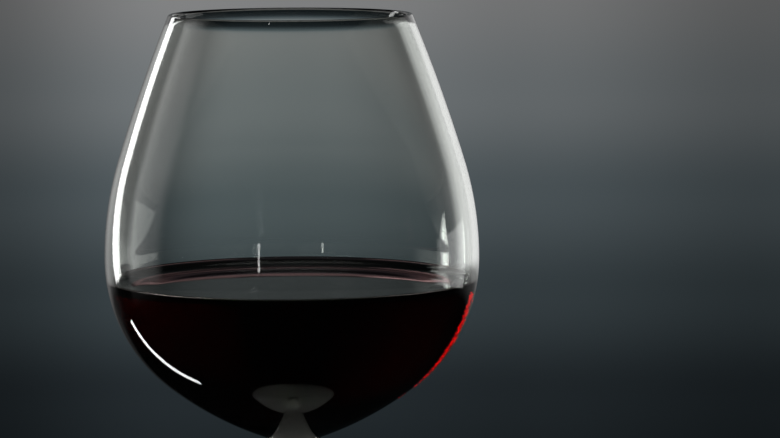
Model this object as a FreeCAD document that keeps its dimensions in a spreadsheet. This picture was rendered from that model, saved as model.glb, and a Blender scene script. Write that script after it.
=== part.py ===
import FreeCAD, Part
import math
import os
import Sketcher

# A balloon glass of red wine. The glass is blown and drawn in one piece: a round foot, a stem
# that widens upwards, and a bowl with an even wall that leans in to a rounded lip. The wine lies
# in the bowl up to a level below the widest place, against the same inner surface.
# Sizes are in millimetres, turns in degrees. The foot's underside is at Z = 0, the axis is Z.

DRIVING_SIZES = [
    ("glass_height", 225.0),    # underside of the foot to the top of the lip
    ("bowl_height", 119.2),     # neck to the top of the lip
    ("belly_radius", 52.5),     # outside, at the widest place
    ("belly_rise", 50.9),       # widest place above the neck
    ("belly_turn", 51.7),       # how far the outline turns below the widest place
    ("underside_turn", 18.9),   # and then, on a flatter arc, down to the neck
    ("shoulder_rise", 27.6),    # end of the upper belly above the widest place
    ("wall_turn", 5.2),         # the slight bow of the wall from there to the lip
    ("lip_radius", 33.35),      # axis to the top of the lip
    ("wall_thickness", 1.8),
    ("well_reach", 19.5),       # radius at which the inside rounds off into the well
    ("neck_radius", 7.3),       # where the stem meets the bowl
    ("neck_round", 2.0),
    ("stem_radius", 4.6),       # at the slimmest place
    ("waist_height", 35.0),     # slimmest place of the stem above the table
    ("foot_radius", 40.0),
    ("foot_edge", 2.2),         # thickness at the rounded edge of the foot
    ("foot_rise", 5.0),         # top of the foot where it would meet the stem
    ("foot_flare", 16.0),       # radius of the sweep from the foot into the stem
    ("wine_level", 42.4),       # surface of the wine above the neck
]

START, END, CENTRE = 1, 2, 3    # the points of an edge in a sketch
ORIGIN, AXIS = -1, -2           # a sketch's own origin and upright axis


# ---- the document and its sheet of sizes -----------------------------------------------------

doc = FreeCAD.newDocument("glass_of_red_wine")
sheet = doc.addObject("Spreadsheet::Sheet", "Sizes")
for row, (name, value) in enumerate(DRIVING_SIZES, start=1):
    sheet.set("A%d" % row, name)
    sheet.set("B%d" % row, str(value))
    sheet.setAlias("B%d" % row, name)
neck_row = len(DRIVING_SIZES) + 1
sheet.set("A%d" % neck_row, "neck_height")
sheet.set("B%d" % neck_row, "=glass_height - bowl_height")
sheet.setAlias("B%d" % neck_row, "neck_height")
doc.recompute()


def size(name):
    return float(sheet.get(name))


# ---- drawing helpers -------------------------------------------------------------------------

def new_sketch(body, name):
    """A sketch on the body's own XZ plane: across is the radius, up is the height."""
    planes = [feature for feature in body.Origin.OriginFeatures if feature.Role == "XZ_Plane"]
    sketch = body.newObject("Sketcher::SketchObject", name)
    sketch.AttachmentSupport = [(planes[0], "")]
    sketch.MapMode = "FlatFace"
    return sketch


def add_line(sketch, start, end):
    return sketch.addGeometry(Part.LineSegment(FreeCAD.Vector(*start, 0), FreeCAD.Vector(*end, 0)))


def add_arc(sketch, centre, radius, first_turn, last_turn):
    """An arc, anticlockwise between two turns in degrees from the direction of the radius."""
    circle = Part.Circle(FreeCAD.Vector(*centre, 0), FreeCAD.Vector(0, 0, 1), radius)
    return sketch.addGeometry(Part.ArcOfCircle(circle, math.radians(first_turn), math.radians(last_turn)))


def bind(sketch, constraint, expression):
    """Adds a constraint whose value comes from the sheet."""
    index = sketch.addConstraint(constraint)
    sketch.setExpression("Constraints[%d]" % index, expression)


def bind_across(sketch, edge, point, value, expression):
    bind(sketch, Sketcher.Constraint("DistanceX", ORIGIN, START, edge, point, value), expression)


def bind_up(sketch, edge, point, value, expression):
    bind(sketch, Sketcher.Constraint("DistanceY", ORIGIN, START, edge, point, value), expression)


def join(sketch, first, first_point, second, second_point, kind="Tangent"):
    """Two edges end in one point: smoothly, or with kind "Coincident" at a corner."""
    sketch.addConstraint(Sketcher.Constraint(kind, first, first_point, second, second_point))


def polar(centre, radius, turn):
    return (centre[0] + radius * math.cos(math.radians(turn)),
            centre[1] + radius * math.sin(math.radians(turn)))


# ---- the bowl's outline ----------------------------------------------------------------------

def draw_bowl(sketch):
    """The bowl's section: underside, belly, upper belly and wall outside, the lip, and the same
    arcs a wall thickness further in, down to the round well on the axis."""
    wall = size("wall_thickness")
    neck = (size("neck_radius"), size("neck_height"))
    belly_height = neck[1] + size("belly_rise")
    lip_centre = (size("lip_radius"), size("glass_height") - wall / 2)

    # below the widest place: two radii that bring the outline from there to the neck
    turn = math.radians(size("belly_turn"))
    full_turn = turn + math.radians(size("underside_turn"))
    across = size("belly_radius") - neck[0]
    down = size("belly_rise")
    belly_run = (1 - math.cos(turn), math.sin(turn))
    underside_run = (math.cos(turn) - math.cos(full_turn), math.sin(full_turn) - math.sin(turn))
    spread = belly_run[0] * underside_run[1] - underside_run[0] * belly_run[1]
    belly_arc = (across * underside_run[1] - underside_run[0] * down) / spread
    underside_arc = (belly_run[0] * down - belly_run[1] * across) / spread
    belly_centre = (size("belly_radius") - belly_arc, belly_height)
    underside_centre = polar(belly_centre, belly_arc - underside_arc, -size("belly_turn"))

    # above it: the lean at which the wall leaves the upper belly, near enough for the sketch
    rise = lip_centre[1] - belly_height
    inward = size("belly_radius") - wall / 2 - lip_centre[0]
    lean = math.degrees(math.atan2(inward, rise - size("shoulder_rise") / 2)) - size("wall_turn") / 2
    lip_lean = lean + size("wall_turn")
    shoulder_arc = size("shoulder_rise") / math.sin(math.radians(lean))
    shoulder_centre = (size("belly_radius") - shoulder_arc, belly_height)
    wall_run = rise - size("shoulder_rise")
    wall_arc = wall_run / (math.sin(math.radians(lip_lean)) - math.sin(math.radians(lean)))
    wall_centre = polar(shoulder_centre, shoulder_arc - wall_arc, lean)

    # inside, the well is an arc about the axis, tangent to the offset underside
    underside_inner = underside_arc - wall
    well_lean = math.acos((size("well_reach") - underside_centre[0]) / underside_inner)
    well_arc = size("well_reach") / math.cos(well_lean)
    well_turn = -math.degrees(well_lean)
    well_centre = (0, polar(underside_centre, underside_inner - well_arc, well_turn)[1])

    edges = {
        "underside": add_arc(sketch, underside_centre, underside_arc,
                             -math.degrees(full_turn), -size("belly_turn")),
        "belly": add_arc(sketch, belly_centre, belly_arc, -size("belly_turn"), 0),
        "shoulder": add_arc(sketch, shoulder_centre, shoulder_arc, 0, lean),
        "wall": add_arc(sketch, wall_centre, wall_arc, lean, lip_lean),
        "lip": add_arc(sketch, lip_centre, wall / 2, lip_lean, lip_lean + 180),
        "inner_wall": add_arc(sketch, wall_centre, wall_arc - wall, lean, lip_lean),
        "inner_shoulder": add_arc(sketch, shoulder_centre, shoulder_arc - wall, 0, lean),
        "inner_belly": add_arc(sketch, belly_centre, belly_arc - wall, -size("belly_turn"), 0),
        "inner_underside": add_arc(sketch, underside_centre, underside_inner,
                                   well_turn, -size("belly_turn")),
        "well": add_arc(sketch, well_centre, well_arc, -90, well_turn),
    }

    outside = ("underside", "belly", "shoulder", "wall")
    for lower, upper in zip(outside, outside[1:]):
        join(sketch, edges[lower], END, edges[upper], START)
    join(sketch, edges["wall"], END, edges["lip"], START)
    join(sketch, edges["lip"], END, edges["inner_wall"], END)
    inside = ("well", "inner_underside", "inner_belly", "inner_shoulder", "inner_wall")
    for lower, upper in zip(inside, inside[1:]):
        join(sketch, edges[lower], END, edges[upper], START)
    for name in outside:
        join(sketch, edges[name], CENTRE, edges["inner_" + name], CENTRE, "Coincident")
    sketch.addConstraint(Sketcher.Constraint("Horizontal", edges["belly"], END, edges["belly"], CENTRE))
    sketch.addConstraint(Sketcher.Constraint("PointOnObject", edges["well"], CENTRE, AXIS))
    sketch.addConstraint(Sketcher.Constraint("PointOnObject", edges["well"], START, AXIS))

    bind_across(sketch, edges["belly"], END, size("belly_radius"), "Sizes.belly_radius")
    bind_up(sketch, edges["belly"], END, belly_height, "Sizes.neck_height + Sizes.belly_rise")
    bind_across(sketch, edges["underside"], START, neck[0], "Sizes.neck_radius")
    bind_up(sketch, edges["underside"], START, neck[1], "Sizes.neck_height")
    bind(sketch, Sketcher.Constraint("Angle", edges["belly"], turn), "Sizes.belly_turn * 1 deg")
    bind(sketch, Sketcher.Constraint("Angle", edges["underside"], full_turn - turn),
         "Sizes.underside_turn * 1 deg")
    bind_up(sketch, edges["shoulder"], END, belly_height + size("shoulder_rise"),
            "Sizes.neck_height + Sizes.belly_rise + Sizes.shoulder_rise")
    bind(sketch, Sketcher.Constraint("Angle", edges["wall"], math.radians(size("wall_turn"))),
         "Sizes.wall_turn * 1 deg")
    bind_across(sketch, edges["lip"], CENTRE, lip_centre[0], "Sizes.lip_radius")
    bind_up(sketch, edges["lip"], CENTRE, lip_centre[1], "Sizes.glass_height - Sizes.wall_thickness / 2")
    bind(sketch, Sketcher.Constraint("Radius", edges["lip"], wall / 2), "Sizes.wall_thickness / 2")
    bind_across(sketch, edges["well"], END, size("well_reach"), "Sizes.well_reach")
    return edges


# ---- the foot and stem's outline -------------------------------------------------------------

def draw_foot_and_stem(sketch, edges):
    """The section below the neck: the flat underside, the rounded edge, the foot's sloping top
    and the stem's long hollow side up to the neck."""
    edge_radius = size("foot_edge") / 2
    edge_centre = (size("foot_radius") - edge_radius, edge_radius)
    widening = size("neck_radius") - size("stem_radius")
    climb = size("neck_height") - size("waist_height")
    stem_arc = (climb ** 2 + widening ** 2) / (2 * widening)
    stem_centre = (size("stem_radius") + stem_arc, size("waist_height"))
    drop = size("waist_height") - size("foot_rise")
    stem_foot = stem_centre[0] - math.sqrt(stem_arc ** 2 - drop ** 2)
    slope = math.degrees(math.atan2(size("foot_rise") - size("foot_edge"), edge_centre[0] - stem_foot))

    underside = add_line(sketch, (0, 0), (edge_centre[0], 0))
    edge = add_arc(sketch, edge_centre, edge_radius, -90, 90 - slope)
    top = add_line(sketch, polar(edge_centre, edge_radius, 90 - slope), (stem_foot, size("foot_rise")))
    stem = add_arc(sketch, stem_centre, stem_arc,
                   180 - math.degrees(math.asin(climb / stem_arc)),
                   180 + math.degrees(math.asin(drop / stem_arc)))
    well_bottom = sketch.getPoint(edges["well"], START)
    axis_side = add_line(sketch, (0, well_bottom.y), (0, 0))

    join(sketch, axis_side, START, edges["well"], START, "Coincident")
    join(sketch, axis_side, END, ORIGIN, START, "Coincident")
    join(sketch, underside, START, ORIGIN, START, "Coincident")
    sketch.addConstraint(Sketcher.Constraint("Horizontal", underside))
    join(sketch, underside, END, edge, START)
    join(sketch, edge, END, top, START)
    join(sketch, top, END, stem, END, "Coincident")
    join(sketch, stem, START, edges["underside"], START, "Coincident")
    bind(sketch, Sketcher.Constraint("Radius", edge, edge_radius), "Sizes.foot_edge / 2")
    bind_across(sketch, edge, CENTRE, edge_centre[0], "Sizes.foot_radius - Sizes.foot_edge / 2")
    bind_up(sketch, top, END, size("foot_rise"), "Sizes.foot_rise")
    bind_up(sketch, stem, CENTRE, size("waist_height"), "Sizes.waist_height")
    bind(sketch, Sketcher.Constraint("Radius", stem, stem_arc),
         "((Sizes.neck_height - Sizes.waist_height)^2 + (Sizes.neck_radius - Sizes.stem_radius)^2)"
         " / (2 * (Sizes.neck_radius - Sizes.stem_radius))")


def revolve(body, sketch, name, kind="PartDesign::Revolution"):
    turned = body.newObject(kind, name)
    turned.Profile = sketch
    turned.ReferenceAxis = (sketch, ["V_Axis"])
    turned.Angle = 360.0
    body.Tip = turned
    return turned


def round_corner(body, name, radius, height, expression):
    """Rounds the ring-shaped edge at one height on the outside."""
    base = body.Tip
    rings = [index for index, edge in enumerate(base.Shape.Edges, start=1)
             if edge.isClosed() and not edge.Degenerated and abs(edge.CenterOfMass.z - height) < 0.001]
    fillet = body.newObject("PartDesign::Fillet", name)
    fillet.Base = (base, ["Edge%d" % index for index in rings])
    fillet.Radius = radius
    fillet.setExpression("Radius", expression)
    body.Tip = fillet
    doc.recompute()


# ---- the glass: foot, stem and bowl, one solid -----------------------------------------------

glass = doc.addObject("PartDesign::Body", "glass")
glass.Label = "glass"
glass_section = new_sketch(glass, "glass_section")
draw_foot_and_stem(glass_section, draw_bowl(glass_section))
doc.recompute()
revolve(glass, glass_section, "glass_turned")
doc.recompute()
round_corner(glass, "neck_rounding", size("neck_round"), size("neck_height"), "Sizes.neck_round")
round_corner(glass, "foot_sweep", size("foot_flare"), size("foot_rise"), "Sizes.foot_flare")


# ---- the wine: the inside of the bowl, up to its level ---------------------------------------

wine = doc.addObject("PartDesign::Body", "red_wine")
wine.Label = "red_wine"
wine_section = new_sketch(wine, "inside_section")
inside = draw_bowl(wine_section)
for name in ("underside", "belly", "shoulder", "wall", "lip"):
    wine_section.toggleConstruction(inside[name])
doc.recompute()
mouth_edge = wine_section.getPoint(inside["inner_wall"], END)
well_bottom = wine_section.getPoint(inside["well"], START)
cover = add_line(wine_section, (mouth_edge.x, mouth_edge.y), (0, mouth_edge.y))
core = add_line(wine_section, (0, mouth_edge.y), (0, well_bottom.y))
join(wine_section, cover, START, inside["inner_wall"], END, "Coincident")
join(wine_section, cover, END, core, START, "Coincident")
join(wine_section, core, END, inside["well"], START, "Coincident")
wine_section.addConstraint(Sketcher.Constraint("Horizontal", cover))
wine_section.addConstraint(Sketcher.Constraint("PointOnObject", core, START, AXIS))
doc.recompute()
revolve(wine, wine_section, "bowl_space")
doc.recompute()

# what stands above the level is turned away
empty_section = new_sketch(wine, "empty_section")
level = size("neck_height") + size("wine_level")
clear_radius = size("belly_radius")
clear_top = size("glass_height")
corners = [(0, level), (clear_radius, level), (clear_radius, clear_top), (0, clear_top)]
sides = [add_line(empty_section, corner, following)
         for corner, following in zip(corners, corners[1:] + corners[:1])]
for side, following in zip(sides, sides[1:] + sides[:1]):
    join(empty_section, side, END, following, START, "Coincident")
for direction, side in zip(("Horizontal", "Vertical") * 2, sides):
    empty_section.addConstraint(Sketcher.Constraint(direction, side))
empty_section.addConstraint(Sketcher.Constraint("PointOnObject", sides[0], START, AXIS))
bind_up(empty_section, sides[0], START, level, "Sizes.neck_height + Sizes.wine_level")
bind_across(empty_section, sides[1], START, clear_radius, "Sizes.belly_radius")
bind_up(empty_section, sides[2], START, clear_top, "Sizes.glass_height")
doc.recompute()
revolve(wine, empty_section, "space_above_wine", "PartDesign::Groove")
doc.recompute()


# ---- checks and files ------------------------------------------------------------------------

for thing in doc.Objects:
    if "Invalid" in thing.State or "Error" in thing.State:
        raise RuntimeError("%s did not build: %s" % (thing.Label, thing.State))

os.makedirs("parts", exist_ok=True)
for body in (glass, wine):
    shape = body.Shape
    if shape.isNull() or not shape.isValid() or len(shape.Solids) != 1:
        raise RuntimeError("%s is not one sound solid" % body.Label)
    shape.exportStep("parts/%s.step" % body.Label)
    print("%s: %.1f cubic centimetres" % (body.Label, shape.Volume / 1000))
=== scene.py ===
from math import acos, asin, atan2, cos, degrees, hypot, pi, radians, sin, sqrt

import bmesh
import bpy
from mathutils import Matrix, Vector


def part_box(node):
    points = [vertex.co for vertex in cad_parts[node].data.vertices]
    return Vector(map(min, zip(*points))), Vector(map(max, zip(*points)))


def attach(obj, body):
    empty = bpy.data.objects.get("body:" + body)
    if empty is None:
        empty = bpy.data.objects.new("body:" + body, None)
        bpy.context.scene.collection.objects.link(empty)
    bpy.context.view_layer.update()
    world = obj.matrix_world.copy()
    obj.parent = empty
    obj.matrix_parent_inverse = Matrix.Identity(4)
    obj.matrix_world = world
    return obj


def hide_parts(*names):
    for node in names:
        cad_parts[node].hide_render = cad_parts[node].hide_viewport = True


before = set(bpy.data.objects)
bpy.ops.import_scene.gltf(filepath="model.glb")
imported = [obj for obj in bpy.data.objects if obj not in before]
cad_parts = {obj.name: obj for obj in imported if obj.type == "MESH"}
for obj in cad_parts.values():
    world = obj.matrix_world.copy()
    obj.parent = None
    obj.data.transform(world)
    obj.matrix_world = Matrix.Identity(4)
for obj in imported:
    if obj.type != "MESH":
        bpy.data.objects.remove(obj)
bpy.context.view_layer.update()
glass_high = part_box("glass")[1]
wine_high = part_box("red_wine")[1]

# ---- Camera -----------------------------------------------------------------------------------
# A long lens 1.1 m in front of the glass, a little above its mouth and looking slightly down, so
# that the bowl fills the view and the stem runs out of it at the bottom.
EYE_ABOVE_LIP, EYE_DISTANCE = 0.0594, 1.122    # metres
TURN_RIGHT, LOOK_DOWN, TILT = 1.404, 5.958, 0.302   # degrees
LENS, SENSOR_WIDTH = 185.8, 36.0               # millimetres
view_camera = bpy.data.objects.new("view_camera", bpy.data.cameras.new("view_camera"))
view_camera.data.sensor_width = SENSOR_WIDTH
view_camera.data.lens = LENS
view_camera.matrix_world = (
    Matrix.Translation((0, -EYE_DISTANCE, glass_high.z + EYE_ABOVE_LIP))
    @ Matrix.Rotation(radians(-TURN_RIGHT), 4, "Z")
    @ Matrix.Rotation(radians(90 - LOOK_DOWN), 4, "X")
    @ Matrix.Rotation(radians(-TILT), 4, "Z"))
bpy.context.scene.collection.objects.link(view_camera)
bpy.context.scene.camera = view_camera
bpy.context.scene.view_settings.view_transform = "Standard"

# ---- Glass ------------------------------------------------------------------------------------
# A blown bowl, a drawn stem and a pressed-out foot, all one piece of clear soda-lime glass. The
# section is drawn as one chain of arcs, in millimetres, and turned once about the axis.
WALL = 1.8
LIP_RADIUS = 33.486               # axis to the middle of the lip
LIP_ROUND = 0.7                   # radius of the fire-polished lip
LIP_EASE = 16.0                   # degrees that the inside turns through below the lip
AROUND = 192                      # facets round the axis
BOWL_HEIGHT, BELLY_RISE, NECK_RADIUS = 119.2, 50.9, 7.3
BELLY_RADIUS = glass_high.x * 1000
TOP = glass_high.z * 1000
NECK = Vector((NECK_RADIUS, TOP - BOWL_HEIGHT))   # across, up: where stem and bowl meet
BELLY = Vector((BELLY_RADIUS, NECK.y + BELLY_RISE))
LIP = Vector((LIP_RADIUS, TOP - LIP_ROUND))
BELLY_TURN, UNDERSIDE_TURN = 51.7, 18.9
SHOULDER_TURN, WALL_TURN = 16.9, 5.2
STEM_RADIUS, WAIST, NECK_ROUND = 4.6, 35.0, 2.0
FOOT_RADIUS, FOOT_EDGE, FOOT_RISE, FOOT_FLARE = 40.0, 2.2, 5.0, 16.0
WELL_REACH = 19.5                 # how far out the round bottom of the inside goes


def towards(turn):
    """Unit vector across and up, at a turn in degrees from straight out."""
    return Vector((cos(radians(turn)), sin(radians(turn))))


def start_at(outline, point):
    return outline.verts.new((point.x, 0, point.y))


def line_to(outline, tip, point):
    """Draws the section on to a point, in a straight line."""
    new = bmesh.ops.extrude_vert_indiv(outline, verts=[tip])["verts"][0]
    new.co = (point.x, 0, point.y)
    return new


def bend(outline, tip, centre, turn, piece=1.2):
    """Draws the section on round a centre, by a turn in degrees, in pieces about that long."""
    reach = hypot(tip.co.x - centre.x, tip.co.z - centre.y)
    steps = max(2, round(abs(radians(turn)) * reach / piece))
    turned = bmesh.ops.spin(outline, geom=[tip], cent=(centre.x, 0, centre.y), axis=(0, -1, 0),
                            angle=radians(turn), steps=steps, use_duplicate=False)
    return [part for part in turned["geom_last"] if isinstance(part, bmesh.types.BMVert)][0]


def two_arcs(across, up, first_turn, second_turn):
    """Radii of two arcs, the first upright at its start, that together go so far in and along."""
    first, both = radians(first_turn), radians(first_turn + second_turn)
    a, b = 1 - cos(first), cos(first) - cos(both)
    c, d = sin(first), sin(both) - sin(first)
    spread = a * d - b * c
    return (across * d - b * up) / spread, (a * up - c * across) / spread


def rounding_centre(first, first_reach, second, second_reach, side):
    """The point at given distances from two centres, on one side of the line between them."""
    between = second - first
    along = (first_reach ** 2 - second_reach ** 2 + between.length_squared) / (2 * between.length)
    off = sqrt(first_reach ** 2 - along ** 2)
    unit = between.normalized()
    return first + unit * along + Vector((-unit.y, unit.x)) * off * side


def turn_of(centre, point):
    return degrees(atan2(point.y - centre.y, point.x - centre.x))


def turn_up(outline, name, materials):
    """Turns a section once about the axis and makes it a smooth closed piece, in metres."""
    bmesh.ops.spin(outline, geom=outline.verts[:] + outline.edges[:], cent=(0, 0, 0),
                   axis=(0, 0, 1), angle=2 * pi, steps=AROUND, use_merge=True,
                   use_duplicate=False)
    bmesh.ops.remove_doubles(outline, verts=outline.verts, dist=1e-4)
    bmesh.ops.recalc_face_normals(outline, faces=outline.faces)
    bmesh.ops.scale(outline, vec=(0.001, 0.001, 0.001), verts=outline.verts)
    mesh = bpy.data.meshes.new(name)
    outline.to_mesh(mesh)
    outline.free()
    mesh.shade_smooth()
    for material in materials:
        mesh.materials.append(material)
    piece = bpy.data.objects.new(name, mesh)
    bpy.context.scene.collection.objects.link(piece)
    return piece


belly_arc, underside_arc = two_arcs(BELLY.x - NECK.x, BELLY.y - NECK.y,
                                    BELLY_TURN, UNDERSIDE_TURN)
belly_centre = BELLY - Vector((belly_arc, 0))
underside_centre = belly_centre + towards(-BELLY_TURN) * (belly_arc - underside_arc)
LIP_LEAN = SHOULDER_TURN + WALL_TURN
wall_end = LIP + towards(LIP_LEAN) * LIP_ROUND
shoulder_arc, wall_arc = two_arcs(BELLY.x - wall_end.x, wall_end.y - BELLY.y,
                                  SHOULDER_TURN, WALL_TURN)
shoulder_centre = BELLY - Vector((shoulder_arc, 0))
wall_centre = shoulder_centre + towards(SHOULDER_TURN) * (shoulder_arc - wall_arc)
# inside, the wall thins over its last millimetres to the lip, along one hollow arc
ease_start = LIP + towards(LIP_LEAN + 180 - LIP_EASE) * LIP_ROUND
ease_reach = ease_start - wall_centre
ease_arc = ((ease_reach.length_squared - (wall_arc - WALL) ** 2)
            / (2 * (wall_arc - WALL - ease_reach.dot(towards(LIP_LEAN - LIP_EASE)))))
ease_centre = ease_start + towards(LIP_LEAN - LIP_EASE) * ease_arc
ease_end = turn_of(wall_centre, ease_centre)
well_lean = degrees(acos((WELL_REACH - underside_centre.x) / (underside_arc - WALL)))
well_arc = WELL_REACH / cos(radians(well_lean))
well_centre = underside_centre + towards(-well_lean) * (underside_arc - WALL - well_arc)

stem_arc = ((NECK.y - WAIST) ** 2 + (NECK.x - STEM_RADIUS) ** 2) / (2 * (NECK.x - STEM_RADIUS))
stem_centre = Vector((STEM_RADIUS + stem_arc, WAIST))
neck_centre = rounding_centre(stem_centre, stem_arc - NECK_ROUND,
                              underside_centre, underside_arc + NECK_ROUND, 1)
edge_centre = Vector((FOOT_RADIUS - FOOT_EDGE / 2, FOOT_EDGE / 2))
stem_foot = Vector((stem_centre.x - sqrt(stem_arc ** 2 - (WAIST - FOOT_RISE) ** 2), FOOT_RISE))
foot_slope = degrees(atan2(FOOT_RISE - FOOT_EDGE, edge_centre.x - stem_foot.x))
edge_top = edge_centre + towards(90 - foot_slope) * FOOT_EDGE / 2
foot_inward = (stem_foot - edge_top).normalized()
foot_normal = Vector((foot_inward.y, -foot_inward.x))
sweep_start = edge_top + foot_normal * FOOT_FLARE - stem_centre
sweep_dot = sweep_start.dot(foot_inward)
sweep_run = -sweep_dot + sqrt(sweep_dot ** 2 - sweep_start.length_squared
                              + (stem_arc - FOOT_FLARE) ** 2)
flare_centre = edge_top + foot_normal * FOOT_FLARE + foot_inward * sweep_run
flare_first = edge_top + foot_inward * sweep_run
flare_last = stem_centre + (flare_centre - stem_centre).normalized() * stem_arc
neck_first = stem_centre + (neck_centre - stem_centre).normalized() * stem_arc
neck_last = underside_centre + (neck_centre - underside_centre).normalized() * underside_arc

section = bmesh.new()
tip = start_at(section, Vector((0, 0)))
tip = line_to(section, tip, Vector((edge_centre.x / 2, 0)))
tip = line_to(section, tip, Vector((edge_centre.x, 0)))
tip = bend(section, tip, edge_centre, 180 - foot_slope, piece=0.25)
tip = line_to(section, tip, (edge_top + flare_first) / 2)
tip = line_to(section, tip, flare_first)
tip = bend(section, tip, flare_centre,
           -((turn_of(flare_centre, flare_first) - turn_of(flare_centre, flare_last)) % 360),
           piece=0.8)
tip = bend(section, tip, stem_centre,
           -((turn_of(stem_centre, flare_last) - turn_of(stem_centre, neck_first)) % 360),
           piece=3.0)
tip = bend(section, tip, neck_centre,
           -((turn_of(neck_centre, neck_first) - turn_of(neck_centre, neck_last)) % 360),
           piece=0.25)
tip = bend(section, tip, underside_centre, -BELLY_TURN - turn_of(underside_centre, neck_last))
tip = bend(section, tip, belly_centre, BELLY_TURN)
tip = bend(section, tip, shoulder_centre, SHOULDER_TURN)
tip = bend(section, tip, wall_centre, WALL_TURN, piece=1.6)
tip = bend(section, tip, LIP, 180 - LIP_EASE, piece=0.09)
tip = bend(section, tip, ease_centre, ease_end - (LIP_LEAN - LIP_EASE), piece=0.3)
tip = bend(section, tip, wall_centre, SHOULDER_TURN - ease_end, piece=1.6)
tip = bend(section, tip, shoulder_centre, -SHOULDER_TURN)
tip = bend(section, tip, belly_centre, -BELLY_TURN)
tip = bend(section, tip, underside_centre, -(well_lean - BELLY_TURN))
tip = bend(section, tip, well_centre, -(90 - well_lean))


def colour(hex_code):
    """A linear colour from an sRGB hex code."""
    parts = [int(hex_code[i:i + 2], 16) / 255 for i in (0, 2, 4)]
    return tuple(p / 12.92 if p <= 0.04045 else ((p + 0.055) / 1.055) ** 2.4
                 for p in parts) + (1.0,)


def add_node(tree, kind, settings=None, values=None, links=None):
    """Adds a node to a tree, sets its settings and socket values, and links its inputs."""
    made = tree.nodes.new(kind)
    for setting, value in (settings or {}).items():
        setattr(made, setting, value)
    for socket, value in (values or {}).items():
        made.inputs[socket].default_value = value
    for socket, source in (links or {}).items():
        tree.links.new(source, made.inputs[socket])
    return made


def new_material(name):
    """An empty material, and its tree."""
    made = bpy.data.materials.new(name)
    made.use_nodes = True
    made.node_tree.nodes.clear()
    return made, made.node_tree


WAVE_SPACING, WAVE_DEPTH = 0.018, 0.00004      # metres


def glass_material(name, ior):
    """Soda-lime glass, blown and fire-polished: quite clear, with faint long waves from blowing
    that make its streaks of light waver, and green where a long way of glass is looked through."""
    made, tree = new_material(name)
    place = add_node(tree, "ShaderNodeTexCoord")
    drawn_out = add_node(tree, "ShaderNodeMapping", values={"Scale": (1.0, 1.0, 0.45)},
                         links={"Vector": place.outputs["Object"]})
    waves = add_node(tree, "ShaderNodeTexNoise",
                     values={"Scale": 1 / WAVE_SPACING, "Detail": 1.0, "Roughness": 0.4},
                     links={"Vector": drawn_out.outputs["Vector"]})
    waviness = add_node(tree, "ShaderNodeBump",
                        values={"Strength": 0.5, "Distance": WAVE_DEPTH},
                        links={"Height": waves.outputs["Fac"]})
    clear = add_node(tree, "ShaderNodeBsdfPrincipled",
                     values={"Base Color": colour("FDFFFD"), "Roughness": 0.0, "IOR": ior,
                             "Transmission Weight": 1.0},
                     links={"Normal": waviness.outputs["Normal"]})
    tint = add_node(tree, "ShaderNodeVolumeAbsorption",
                    values={"Color": (0.70, 0.95, 0.50, 1.0), "Density": 8.0})
    add_node(tree, "ShaderNodeOutputMaterial",
             links={"Surface": clear.outputs["BSDF"], "Volume": tint.outputs["Volume"]})
    return made


GLASS_IOR, WINE_IOR = 1.52, 1.34
blown_glass = glass_material("blown_soda_lime_glass", GLASS_IOR)
wetted_glass = glass_material("soda_lime_glass_under_wine", GLASS_IOR / WINE_IOR)
bowl_and_foot = turn_up(section, "wine_glass", [blown_glass, wetted_glass])
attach(bowl_and_foot, "root")
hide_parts("glass")

# ---- Red wine ---------------------------------------------------------------------------------
# Still red wine, lying against the inside of the bowl with a flat mirror-smooth surface that
# climbs about 3 mm up the clean glass all round. It reaches just into the wall, so that no air
# shows between them.
LEVEL = wine_high.z * 1000
INTO_WALL = 0.15
CLIMB_LENGTH = 2.35               # sets how high a liquid of this surface tension climbs
EDGE_SLOPE = 80.0
LEAST_STEP, STEP_SHARE, NEARLY_FLAT = 4.0, 0.12, 1.5   # of the climb's slope, in degrees
RIPPLE_SPACING, RIPPLE_DEPTH = 0.030, 0.00001          # metres

wine_section = bmesh.new()
tip = start_at(wine_section, well_centre - Vector((0, well_arc + INTO_WALL)))
tip = bend(wine_section, tip, well_centre, 90 - well_lean)
tip = bend(wine_section, tip, underside_centre, well_lean - BELLY_TURN)
rise = 2 * CLIMB_LENGTH * sin(radians(EDGE_SLOPE / 2))
inner_belly = belly_arc - WALL + INTO_WALL
edge_turn = degrees(asin((LEVEL + rise - belly_centre.y) / inner_belly))
tip = bend(wine_section, tip, belly_centre, edge_turn + BELLY_TURN)
tip_of_climb = tip.co.x
tip = line_to(wine_section, tip, Vector((tip.co.x - INTO_WALL, tip.co.z)))
slope = EDGE_SLOPE
while slope > NEARLY_FLAT:
    easing = max(LEAST_STEP, slope * STEP_SHARE)
    next_height = 2 * CLIMB_LENGTH * sin(radians(max(slope - easing, 0.0) / 2))
    lean = radians(slope - easing / 2)
    drop = tip.co.z - LEVEL - next_height
    inward = drop * cos(lean) / sin(lean)
    tip = line_to(wine_section, tip, Vector((tip.co.x - inward, tip.co.z - drop)))
    slope -= easing
tip = line_to(wine_section, tip, Vector((tip.co.x - 2.0, LEVEL)))
tip = line_to(wine_section, tip, Vector((tip.co.x / 2, LEVEL)))
tip = line_to(wine_section, tip, Vector((0, LEVEL)))


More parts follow.
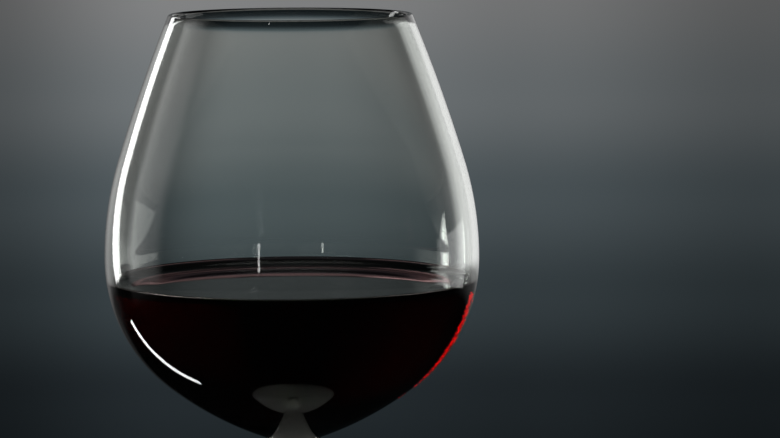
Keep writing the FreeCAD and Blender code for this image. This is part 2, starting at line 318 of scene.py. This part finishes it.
def wine_material(name, ior):
    """Red wine, a deep red solution: almost black through the bowl, and clear deep red where the
    way through it is short. Its surface is perfectly smooth."""
    made, tree = new_material(name)
    place = add_node(tree, "ShaderNodeTexCoord")
    ripple = add_node(tree, "ShaderNodeTexNoise",
                      values={"Scale": 1 / RIPPLE_SPACING, "Detail": 0.0},
                      links={"Vector": place.outputs["Object"]})
    stillness = add_node(tree, "ShaderNodeBump",
                         values={"Strength": 0.2, "Distance": RIPPLE_DEPTH},
                         links={"Height": ripple.outputs["Fac"]})
    liquid = add_node(tree, "ShaderNodeBsdfPrincipled",
                      values={"Base Color": (1, 1, 1, 1), "Roughness": 0.0, "IOR": ior,
                              "Transmission Weight": 1.0},
                      links={"Normal": stillness.outputs["Normal"]})
    pigment = add_node(tree, "ShaderNodeVolumeAbsorption",
                       values={"Color": (0.83, 0.0, 0.06, 1.0), "Density": 330.0})
    add_node(tree, "ShaderNodeOutputMaterial",
             links={"Surface": liquid.outputs["BSDF"], "Volume": pigment.outputs["Volume"]})
    return made


wine_surface = wine_material("red_wine", WINE_IOR)
wine_side = wine_material("red_wine_against_glass", 1.0)
wine = turn_up(wine_section, "red_wine_fill", [wine_surface, wine_side])
# the wine's open surface is the first material, and all that lies against the glass the second
FACING_UP, JUST_UNDER = 0.05, 0.0001
in_wall = (tip_of_climb - INTO_WALL / 2) / 1000
for face in wine.data.polygons:
    against_glass = (face.normal.z < FACING_UP
                     or hypot(face.center.x, face.center.y) > in_wall
                     or face.center.z < LEVEL / 1000 - JUST_UNDER)
    face.material_index = 1 if against_glass else 0
# and inside the bowl, up to the top of the climb, the glass is wetted
IN_THE_BOWL = 0.1
wet_height = (LEVEL + rise) / 1000
for face in bowl_and_foot.data.polygons:
    middle = face.center
    outward = Vector((middle.x, middle.y, middle.z - BELLY.y / 1000))
    if IN_THE_BOWL < middle.z < wet_height and face.normal.dot(outward) < 0:
        face.material_index = 1
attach(wine, "root")
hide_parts("red_wine")

# ---- Floor ------------------------------------------------------------------------------------
# A plain pale round table top, matt lacquered, which the glass stands on. It is in the shade of
# the dark studio, and the fine mottle of the lacquer is drawn 4 mm across so that it can show.
FLOOR_RADIUS, FLOOR_GAP, MOTTLE = 0.6, 0.0002, 0.004   # metres
table_mesh = bpy.data.meshes.new("pale_floor")
table_shape = bmesh.new()
bmesh.ops.create_circle(table_shape, cap_ends=True, segments=96,
                        radius=FLOOR_RADIUS)
bmesh.ops.translate(table_shape, vec=(0, 0, -FLOOR_GAP), verts=table_shape.verts)
table_shape.to_mesh(table_mesh)
table_shape.free()
pale_floor = bpy.data.objects.new("pale_floor", table_mesh)
bpy.context.scene.collection.objects.link(pale_floor)
lacquer, tree = new_material("matt_lacquer")
place = add_node(tree, "ShaderNodeTexCoord")
grain = add_node(tree, "ShaderNodeTexNoise", values={"Scale": 1 / MOTTLE, "Detail": 3.0},
                 links={"Vector": place.outputs["Object"]})
tone = add_node(tree, "ShaderNodeValToRGB", links={"Fac": grain.outputs["Fac"]})
tone.color_ramp.elements[0].color = colour("E2E0DC")
tone.color_ramp.elements[1].color = colour("EAE8E4")
matt = add_node(tree, "ShaderNodeBsdfPrincipled", values={"Roughness": 0.7},
                links={"Base Color": tone.outputs["Color"]})
add_node(tree, "ShaderNodeOutputMaterial", links={"Surface": matt.outputs["BSDF"]})
table_mesh.materials.append(lacquer)
pale_floor.visible_glossy = False

# ---- Studio -----------------------------------------------------------------------------------
# A dark blue-grey studio with a soft glow on the wall behind the glass, brightest a little left
# of the middle and level with the lip. A tall pale panel stands to each side, outside what the
# camera sees straight on, and makes the wide bright bands down the sides of the bowl.
studio = bpy.data.worlds.new("studio")
studio.use_nodes = True
tree = studio.node_tree
tree.nodes.clear()
bpy.context.scene.world = studio


def ramp_of(tree, source, low, high, stops):
    """A colour ramp over an angle in degrees, from (angle, grey or colour) stops."""
    spread = add_node(tree, "ShaderNodeMapRange",
                      values={"From Min": radians(low), "From Max": radians(high)},
                      links={"Value": source})
    made = add_node(tree, "ShaderNodeValToRGB", links={"Fac": spread.outputs["Result"]})
    made.color_ramp.interpolation = "EASE"
    elements = made.color_ramp.elements
    while len(elements) > 1:
        elements.remove(elements[-1])
    for index, (angle, shade) in enumerate(stops):
        position = (angle - low) / (high - low)
        element = elements[0] if index == 0 else elements.new(position)
        element.position = position
        element.color = (shade if isinstance(shade, tuple) else (shade,) * 3) + (1.0,)
    return made


place = add_node(tree, "ShaderNodeTexCoord")
way = add_node(tree, "ShaderNodeSeparateXYZ", links={0: place.outputs["Generated"]})
heading = add_node(tree, "ShaderNodeMath", {"operation": "ARCTAN2"},
                   links={0: way.outputs["X"], 1: way.outputs["Y"]})
height = add_node(tree, "ShaderNodeMath", {"operation": "ARCSINE"}, links={0: way.outputs["Z"]})
across_glow = ramp_of(tree, heading.outputs[0], -30, 40,
                      [(-30, 0.10), (-9, 0.12), (-4.6, 0.44), (-1.6, 1.0), (0.8, 0.93),
                       (3.4, 0.74), (6.8, 0.45), (12, 0.25), (30, 0.10)])
up_glow = ramp_of(tree, height.outputs[0], -16, 16,
                  [(-16, (0.006, 0.008, 0.009)), (-10, (0.010, 0.014, 0.016)),
                   (-8.4, (0.018, 0.024, 0.028)), (-7.0, (0.044, 0.058, 0.065)),
                   (-5.6, (0.087, 0.108, 0.118)), (-4.2, (0.165, 0.182, 0.190)),
                   (-2.6, (0.225, 0.228, 0.230)), (0, 0.24),
                   (5, (0.09, 0.10, 0.105)), (12, (0.06, 0.07, 0.075))])
across_right = ramp_of(tree, heading.outputs[0], 0, 90,
                       [(7, 0.0), (8.5, 0.35), (10, 0.60), (13, 0.75), (38, 0.82), (48, 0.66),
                        (56, 0.40), (68, 0.22), (84, 0.0)])
up_right = ramp_of(tree, height.outputs[0], -20, 40,
                   [(-16, 0.0), (-11, 0.12), (-8.5, 0.25), (-6, 1.0), (5, 1.0), (12, 0.5),
                    (24, 0.0)])
across_left = ramp_of(tree, heading.outputs[0], -100, 0,
                      [(-95, 0.0), (-84, 0.5), (-78, 0.62), (-62, 0.60), (-57, 0.05),
                       (-44, 0.05), (-31, 0.30), (-20, 0.45), (-12, 0.26), (-7, 0.16),
                       (-4.5, 0.0)])
up_left = ramp_of(tree, height.outputs[0], -30, 40,
                  [(-21, 0.0), (-13, 0.10), (-8, 0.6), (0, 0.8), (8, 1.0), (22, 1.0),
                   (34, 0.0)])
all_round = None
for across_part, up_part in ((across_glow, up_glow), (across_right, up_right),
                             (across_left, up_left)):
    part = add_node(tree, "ShaderNodeVectorMath", {"operation": "MULTIPLY"},
                    links={0: across_part.outputs["Color"], 1: up_part.outputs["Color"]})
    if all_round is None:
        all_round = part
    else:
        all_round = add_node(tree, "ShaderNodeVectorMath", {"operation": "ADD"},
                             links={0: all_round.outputs["Vector"], 1: part.outputs["Vector"]})
room = add_node(tree, "ShaderNodeBackground", links={"Color": all_round.outputs["Vector"]})
add_node(tree, "ShaderNodeOutputWorld", links={"Surface": room.outputs["Background"]})

# ---- Lights -----------------------------------------------------------------------------------
# A tall soft box close behind the glass on its left draws the bright line down its left edge. A
# strip low on that side draws the curved line under the wine, a strip behind the camera the thin
# line above it, a dim box stands low on the right, and one overhead lights the floor.
BOWL_MIDDLE = Vector((0, 0, 0.165))
DEEP_IN, CORE_GAIN = 4.5, 120.0


def soft_box(name, heading, height, width, tall, brightness, away=2.0, lean=0.0):
    """A flat soft light seen from the bowl at a heading and height, and so wide and tall, all in
    degrees. Headings count from straight behind the glass, to the right, and so does the lean."""
    lamp = bpy.data.lights.new(name, "AREA")
    lamp.shape = "RECTANGLE"
    lamp.size = 2 * away * sin(radians(width / 2))
    lamp.size_y = 2 * away * sin(radians(tall / 2))
    lamp.energy = brightness * 4 * lamp.size * lamp.size_y
    direction = Vector((sin(radians(heading)) * cos(radians(height)),
                        cos(radians(heading)) * cos(radians(height)), sin(radians(height))))
    holder = bpy.data.objects.new(name, lamp)
    holder.matrix_world = (Matrix.Translation(BOWL_MIDDLE + direction * away)
                           @ direction.to_track_quat("Z", "Y").to_matrix().to_4x4()
                           @ Matrix.Rotation(radians(lean), 4, "Z"))
    holder.visible_camera = False
    bpy.context.scene.collection.objects.link(holder)
    return holder


left_box = soft_box("left_box", -45, 12.4, 8.6, 56, 3.3, away=0.256, lean=20)
left_box.visible_diffuse = False
# the box is far brighter to light that has passed five surfaces or more, as through the wine's
# edge and both walls, which real lamps aren't: this alone makes the red crescent at the right
left_box.data.use_nodes = True
tree = left_box.data.node_tree
passed = add_node(tree, "ShaderNodeLightPath")
deep = add_node(tree, "ShaderNodeMath", {"operation": "GREATER_THAN"}, {1: DEEP_IN},
                {0: passed.outputs["Transmission Depth"]})
core = add_node(tree, "ShaderNodeMath", {"operation": "MULTIPLY_ADD"},
                {1: CORE_GAIN, 2: 1.0},
                {0: deep.outputs[0]})
tree.links.new(core.outputs[0], tree.nodes["Emission"].inputs["Strength"])
soft_box("low_strip", -45, -36, 3.2, 30, 6.0)
soft_box("front_strip", -160, 0, 1.0, 10, 4.0)
soft_box("right_low", 64, -7, 32, 14, 0.6)
soft_box("overhead", 0, 78, 40, 40, 0.5)
